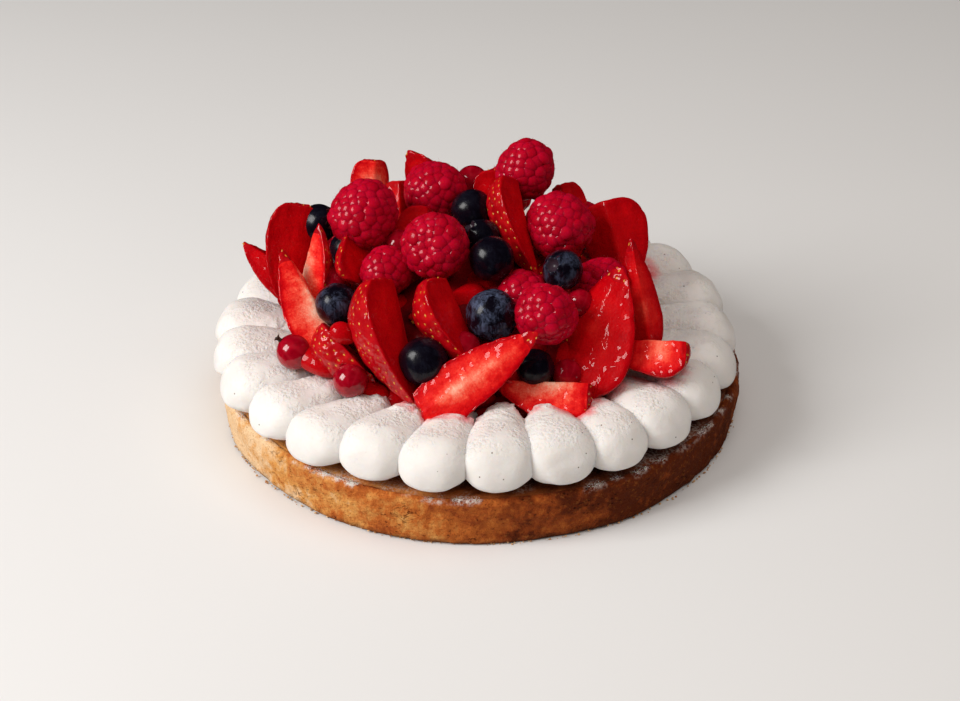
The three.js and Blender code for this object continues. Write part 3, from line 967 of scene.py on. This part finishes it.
def make_raspberry(name, berry, materials, number):
    random = draws("raspberry", number)
    middle, axis, half_length, half_width = berry
    inset = 0.55 * BEAD_RADIUS
    places = spiral_places(
        RASPBERRY_OUTLINE, half_width - inset, half_length - inset, BEAD_SPACING, random)
    whole = Bundle()
    core, core_faces = lathe(RASPBERRY_CORE, 16)
    whole.add(core * [half_width, half_width, half_length], core_faces)
    form, form_faces = bead_form()
    for place, outward in places:
        centre = place + outward * random.uniform(-0.15, 0.15) * MM
        size = BEAD_RADIUS * random.uniform(0.95, 1.05)
        bead = form * [size, size, BEAD_RISE * size]
        # Each bead's tone is random from bead to bead, and darker towards its base as painted shade
        # in the creases
        tone = random.uniform(0.3, 0.55) + 0.2 * form[:, 2]
        whole.add(bead @ axes_along(outward).T + centre, form_faces, value=tone)
    for place, outward in places:
        hair, hair_faces = hair_mesh(place + BEAD_RADIUS * BEAD_RISE * outward, outward, random)
        whole.add(hair, hair_faces, slot=1, value=0.5)
    points = placed(whole.points(), middle, -axis)
    piece = add_mesh(
        f"{name}_beads", points, whole.faces, materials, slots=whole.slots,
        tone=whole.point_values())
    declare(piece, "raspberry")
    return piece


BLUEBERRY_OUTLINE = [
    (0.0, -0.97), (0.3, -0.95), (0.55, -0.85), (0.78, -0.66), (0.93, -0.38), (1.0, -0.02),
    (0.97, 0.28), (0.87, 0.55), (0.7, 0.76), (0.52, 0.88), (0.42, 0.95), (0.36, 1.0),
    (0.3, 0.96), (0.25, 0.84), (0.12, 0.76), (0.0, 0.74),
]

# How much of a blueberry its bloom covers, where it is more than a trace
BLOOM = {"blueberry_02": 0.6, "blueberry_05": 0.95, "blueberry_08": 0.5, "blueberry_10": 0.7}


def smooth_outline(outline, steps):
    """An outline resampled through its corners with rounded turns."""
    corners = np.array(outline)
    share = np.linspace(0, 1, steps)
    marks = np.linspace(0, 1, len(corners))
    rounded = np.stack([np.interp(share, marks, corners[:, k]) for k in (0, 1)], axis=1)
    for _ in range(3):
        rounded[1:-1] = (rounded[:-2] + 2 * rounded[1:-1] + rounded[2:]) / 4
    rounded[0, 0] = 0
    rounded[-1, 0] = 0
    return [tuple(p) for p in rounded]


def make_blueberry(name, berry, materials, number):
    middle, axis, half_length, half_width = berry
    points, faces = lathe(smooth_outline(BLUEBERRY_OUTLINE, 56), 64)
    angle, radius = polar(points)
    crown = smoothstep(0.8, 0.95, points[:, 2]) * smoothstep(0.2, 0.34, radius)
    lobes = 0.5 + 0.5 * np.cos(5 * angle + number)
    points[:, 2] += crown * (0.1 * lobes - 0.05)
    points[:, :2] *= (1 + 0.12 * crown * lobes)[:, None]
    scar = smoothstep(0.36, 0.26, radius) * (points[:, 2] > 0.5)
    points = points * [half_width, half_width, half_length]
    points += points / half_width * (0.25 * MM * noise_at(points, 7 * MM, 2, number))[:, None]
    points = placed(points, middle, axis)
    piece = add_mesh(
        f"{name}_skin", points, faces, materials,
        bloom=BLOOM.get(name, 0.05), scar=np.clip(scar, 0, 1))
    declare(piece, "blueberry")
    return piece


CURRANT_OUTLINE = [
    (0.0, -1.0), (0.34, -0.95), (0.64, -0.77), (0.87, -0.5), (0.98, -0.15), (0.97, 0.2),
    (0.84, 0.52), (0.6, 0.78), (0.34, 0.92), (0.14, 0.97), (0.0, 0.98),
]
CALYX_OUTLINE = [(0, 0), (0.5, 0.02), (0.34, 0.35), (0.42, 0.7), (0.7, 1.0), (0.3, 0.8), (0, 0.6)]


def calyx_form(random):
    """A small dry tuft, one unit tall."""
    points, faces = lathe(CALYX_OUTLINE, 15)
    angle, _ = polar(points)
    points[:, :2] *= (1 + 0.45 * np.cos(5 * angle))[:, None]
    return points + random.normal(0, 0.05, points.shape), faces


def make_currant(name, berry, materials, number):
    middle, axis, half_length, half_width = berry
    points, faces = lathe(smooth_outline(CURRANT_OUTLINE, 40), 48)
    angle, _ = polar(points)
    vein = np.abs(np.cos(4.5 * angle)) ** 14 * (1 - np.abs(points[:, 2]) * 0.4)
    body = points * [half_width, half_width, 0.94 * half_length] - [0, 0, 0.05 * half_length]
    tuft, tuft_faces = calyx_form(draws("currant", number))
    tuft = tuft * [1.5 * MM, 1.5 * MM, 2.2 * MM] + [0, 0, 0.83 * half_length]
    whole = Bundle()
    whole.add(body, faces, value=vein)
    whole.add(tuft, tuft_faces, slot=1)
    points = placed(whole.points(), middle, axis)
    piece = add_mesh(
        f"{name}_skin", points, whole.faces, materials, slots=whole.slots,
        vein=whole.point_values())
    declare(piece, "currant")
    return piece


# -------- buried and further fruit

BED_OUTLINE = [
    (0, 0), (1, 0.02), (1, 0.2), (1.04, 0.32), (1.08, 0.48), (0.95, 0.7), (0.62, 0.9), (0, 0.98),
]
BED_RADIUS = 50 * MM
CHUNK_OUTLINE = [
    (0, -1), (0.5, -0.93), (0.85, -0.65), (1, -0.2), (0.93, 0.25), (0.66, 0.68), (0.3, 0.93),
    (0, 1),
]
CHUNK_SPACING = 14 * MM


def make_bed(material):
    low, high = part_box("fruit_bed")
    height = high.z - low.z
    points, faces = lathe(smooth_outline(BED_OUTLINE, 60), 150)
    points = points * [BED_RADIUS, BED_RADIUS, height] + [0, 0, low.z]
    lumps = noise_at(points, 11 * MM, 3, 12)
    points[:, :2] *= (1 + 0.05 * lumps)[:, None]
    points[:, 2] += 1.6 * MM * lumps * smoothstep(low.z + 2 * MM, low.z + 9 * MM, points[:, 2])
    piece = add_mesh("bed_pulp", points, faces, [material])
    declare(piece, "buried_fruit", "fruit_bed")


def chunk_points(place, along, half_length, half_width, random):
    """A rounded piece of strawberry whose longest way is along."""
    points, faces = lathe(smooth_outline(CHUNK_OUTLINE, 22), 26)
    points = points * [half_width, 0.9 * half_width, half_length]
    points *= (1 + 0.06 * noise_at(points, 6 * MM, 2, random.integers(100)))[:, None]
    return placed(points, place, along), faces


def make_chunks(name, chunks, materials, random):
    """One piece from many rounded bits of strawberry, some cut and some with skin and seeds.

    Each chunk is (centre, outward, along, half_length, half_width, cut).
    """
    whole = Bundle()
    for centre, outward, along, half_length, half_width, cut in chunks:
        chunk, faces = chunk_points(centre, along, half_length, half_width, random)
        normals = point_normals(chunk, faces)
        facing = np.flatnonzero(normals @ outward > 0.1)
        seeds = [] if cut else spaced(chunk, facing, 1.1 * SEED_SPACING, random)
        chunk, pit = press_pits(chunk, normals, seeds)
        if seeds:
            whole.add(*seed_meshes(chunk[seeds], normals[seeds], along, random), slot=2)
        whole.add(chunk, faces, slot=1 if cut else 0, value=pit)
    points = whole.points()
    piece = add_mesh(
        name, points, whole.faces, materials, slots=whole.slots, pit=whole.point_values(),
        depth=0.5, rim=0, along=points[:, 2], core=0.5 * RED_CORE)
    declare(piece, "strawberry")


def bed_surface(spacing, random):
    """Places spread over the heap's surface, each with its outward direction."""
    low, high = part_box("fruit_bed")
    places = spiral_places(BED_OUTLINE, BED_RADIUS, high.z - low.z, spacing, random)
    return [(place + [0, 0, low.z], outward) for place, outward in places if outward[2] > -0.3]


def make_bed_fruit(materials):
    """The pieces of strawberry inside the heap, which show in the gaps between the toppings."""
    random = draws("bed")
    chunks = []
    for place, outward in bed_surface(CHUNK_SPACING, random):
        half_width = random.uniform(6, 7.5) * MM
        centre = place - outward * random.uniform(2.5, 4.5) * MM
        along = unit(np.cross(outward, random.normal(0, 1, 3)))
        cut = random.random() < 0.45
        chunks.append((centre, outward, along, 1.25 * half_width, half_width, cut))
    make_chunks("bed_strawberries", chunks, materials, random)


# Bits of strawberry that close the heap's lower edge: two ends and a width, in millimetres
SLIVERS = [
    ((-67, -37, 42), (-50, -47, 38), 10), ((-53, -45, 56), (-44, -45, 51), 9),
    ((-46, -49, 35), (-32, -53, 32), 9), ((-38, -50, 29), (-24, -52, 30), 10),
    ((-10, -54, 32), (6, -55, 33), 9), ((-9, -53, 26), (6, -54, 27), 10),
    ((10, -54, 33), (27, -54, 33), 9), ((9, -54, 26), (23, -54, 27), 10),
    ((8, -40, 56), (20, -40, 60), 9),
]


def make_slivers(materials):
    chunks = []
    for start, end, width in SLIVERS:
        start = np.array(start) * MM
        end = np.array(end) * MM
        centre = (start + end) / 2
        outward = unit(centre * [1, 1, 0])
        half_length = np.linalg.norm(end - start) / 2
        chunks.append((centre, outward, unit(end - start), half_length, width / 2 * MM, True))
    make_chunks("strawberry_slivers", chunks, materials, draws("slivers"))


def face_samples(nodes, steps=5):
    """Points spread over the faces of the nodes."""
    shares = [(i, j, steps - i - j) for i in range(steps + 1) for j in range(steps + 1 - i)]
    samples = []
    for node in nodes:
        mesh = NODES[node].data
        mesh.calc_loop_triangles()
        triangles = np.array([tuple(face.vertices) for face in mesh.loop_triangles])
        corners = mesh_points(mesh)[triangles]
        samples.append(np.einsum("mk,nkd->nmd", np.array(shares) / steps, corners).reshape(-1, 3))
    return np.concatenate(samples)


# The further berries on the hidden slope: kind, half-length, half-width and how many at most
BACK_KINDS = [
    ("raspberry", 10.5 * MM, 9.5 * MM, 3),
    ("blueberry", 6.2 * MM, 7 * MM, 5),
    ("currant", 5.6 * MM, 5.6 * MM, 7),
]


def back_berries():
    """Berries for the bare places of the slope that faces away from the front."""
    random = draws("back")
    toppings = named("strawberry", "raspberry", "blueberry", "currant")
    taken = tree_of(face_samples(toppings + ["cream_border"]))
    spots = [spot for spot in bed_surface(5 * MM, random) if spot[1][1] > 0.25]
    found = []
    for kind, half_length, half_width, most in BACK_KINDS:
        for index in random.permutation(len(spots)):
            place, outward = spots[index]
            centre = place + outward * 0.35 * half_width
            apart = min([np.linalg.norm(centre - other[0]) - other[3] for _, other in found] + [1])
            if taken.find(centre)[2] > 0.75 * half_width and apart > 0.85 * half_width:
                axis = unit(outward + random.normal(0, 0.5, 3))
                found.append((kind, (centre, axis, half_length, half_width)))
                most -= 1
            if most == 0:
                break
    return found


# -------- sugar and crumbs

GRAIN_COUNT = 9000
CRUMB_COUNT = 360


def make_sugar(material):
    """Loose grains of icing sugar along the rim, in the same patches as the crust's dusting."""
    random = draws("sugar")
    form, faces = lathe([(0, -1), (0.9, -0.4), (0.8, 0.5), (0, 1)], 5)
    angles = random.uniform(0, 2 * math.pi, GRAIN_COUNT)
    radii = CRUST_RADIUS - random.uniform(1.4, 4.0, GRAIN_COUNT) * MM
    heights = np.full(GRAIN_COUNT, CRUST_HEIGHT)
    centres = np.stack([radii * np.cos(angles), radii * np.sin(angles), heights], axis=1)
    # Fewer grains on the darker side, so the painted shade there stays dark
    keep = sugar_noise(centres) > 0.15 * (random.random(GRAIN_COUNT) + browning_and_shade(angles))
    grains = Bundle()
    for centre in centres[keep]:
        grain = form * random.uniform(0.05, 0.15) * MM
        grain = grain * [1, 1, 0.7] + random.normal(0, 0.015, form.shape) * MM
        grains.add(grain + centre - [0, 0, 0.15 * MM], faces)
    piece = add_mesh("sugar_grains", grains.points(), grains.faces, [material])
    declare(piece, "crust")


def make_crumbs(material):
    """Crumbs of pastry along the foot of the wall."""
    random = draws("crumbs")
    form, faces = lathe([(0, -1), (0.8, -0.6), (1, 0.1), (0.6, 0.8), (0, 1)], 6)
    crumbs = Bundle()
    for _ in range(CRUMB_COUNT):
        angle = random.uniform(0, 2 * math.pi)
        radius = random.uniform(0.12, 0.45) * MM
        reach = CRUST_RADIUS - 2.2 * MM + random.exponential(0.25) * MM
        height = 0.6 * radius + random.uniform(0, 0.6) * MM * (reach < CRUST_RADIUS - 1 * MM)
        centre = [reach * math.cos(angle), reach * math.sin(angle), height]
        crumb = form * radius * [1, 1, 0.75] * random.uniform(0.75, 1.25, form.shape)
        crumbs.add(crumb + centre, faces)
    points = crumbs.points()
    points[:, 2] = np.maximum(points[:, 2], 0)
    piece = add_mesh("crust_crumbs", points, crumbs.faces, [material], smooth=False)
    declare(piece, "crust")


# -------- stage

CAMERA_TARGET = Vector((0, 0, 0.0204))
CAMERA_DISTANCE = 0.7
CAMERA_TILT = math.radians(30.3)
CAMERA_LENS = 68.1
LIGHT_TARGET = (0, 0, 0.03)
FLOOR_CORNERS = [(-3, -3, 0), (3, -3, 0), (3, 3, 0), (-3, 3, 0)]


def aim(thing, target):
    direction = Vector(target) - thing.location
    thing.rotation_euler = direction.to_track_quat("-Z", "Y").to_euler()


def make_light(name, place, width, height, power, colour):
    data = bpy.data.lights.new(name, "AREA")
    data.shape = "RECTANGLE"
    data.size = width
    data.size_y = height
    data.energy = power
    data.color = colour
    light = bpy.data.objects.new(name, data)
    light.location = place
    bpy.context.scene.collection.objects.link(light)
    aim(light, LIGHT_TARGET)
    return light


def make_stage():
    floor = add_mesh("floor", FLOOR_CORNERS, [(0, 1, 2, 3)], [floor_material()])
    make_light(
        "window", (-0.95, -0.4, 0.75), width=0.6, height=0.65, power=14.6,
        colour=(1.0, 0.985, 0.965))
    ceiling = make_light(
        "ceiling", (0.25, -0.3, 1.15), width=1.0, height=1.0, power=6, colour=WARM_WHITE)
    world = bpy.data.worlds.new("soft_room")
    world.use_nodes = True
    background = world.node_tree.nodes["Background"].inputs
    background["Color"].default_value = (*WARM_WHITE, 1)
    background["Strength"].default_value = 0.2
    bpy.context.scene.world = world
    # Only the window shows as a reflection in the wet fruit
    floor.visible_glossy = False
    ceiling.visible_glossy = False
    world.cycles_visibility.glossy = False


def make_camera():
    data = bpy.data.cameras.new("camera")
    data.lens = CAMERA_LENS
    data.sensor_width = 36
    camera = bpy.data.objects.new("camera", data)
    backwards = Vector((0, -math.cos(CAMERA_TILT), math.sin(CAMERA_TILT)))
    camera.location = CAMERA_TARGET + CAMERA_DISTANCE * backwards
    bpy.context.scene.collection.objects.link(camera)
    aim(camera, CAMERA_TARGET)
    bpy.context.scene.camera = camera


# -------- the tart

def named(*kinds):
    """The names of all the nodes of these kinds, one kind after the other."""
    return [name for kind in kinds for name in sorted(NODES) if name.startswith(kind + "_")]


def fruit_tree():
    """Points all over the red fruit, to find the cream that lies close to it."""
    return tree_of(face_samples(named("strawberry", "raspberry")))


def build():
    make_crust(crust_material())
    make_filling(filling_material())
    make_cream(cream_material(), fruit_tree())
    make_bed(bed_material())
    strawberry = [skin_material(), flesh_material(), seed_material()]
    make_bed_fruit(strawberry)
    make_slivers(strawberry)
    for number, node in enumerate(named("strawberry")):
        make_strawberry(node, strawberry, number)
    kinds = {
        "raspberry": (make_raspberry, [raspberry_material(), hair_material()]),
        "blueberry": (make_blueberry, [blueberry_material()]),
        "currant": (make_currant, [currant_material(), calyx_material()]),
    }
    for kind, (make, materials) in kinds.items():
        for number, node in enumerate(named(kind)):
            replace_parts(make(node, berry_frame(node), materials, number), node)
    for number, (kind, berry) in enumerate(back_berries()):
        make, materials = kinds[kind]
        make(f"further_{kind}_{number + 1:02d}", berry, materials, 20 + number)
    make_sugar(sugar_material())
    make_crumbs(crumb_material())


bpy.context.scene.view_settings.view_transform = "Standard"
build()
make_stage()
make_camera()
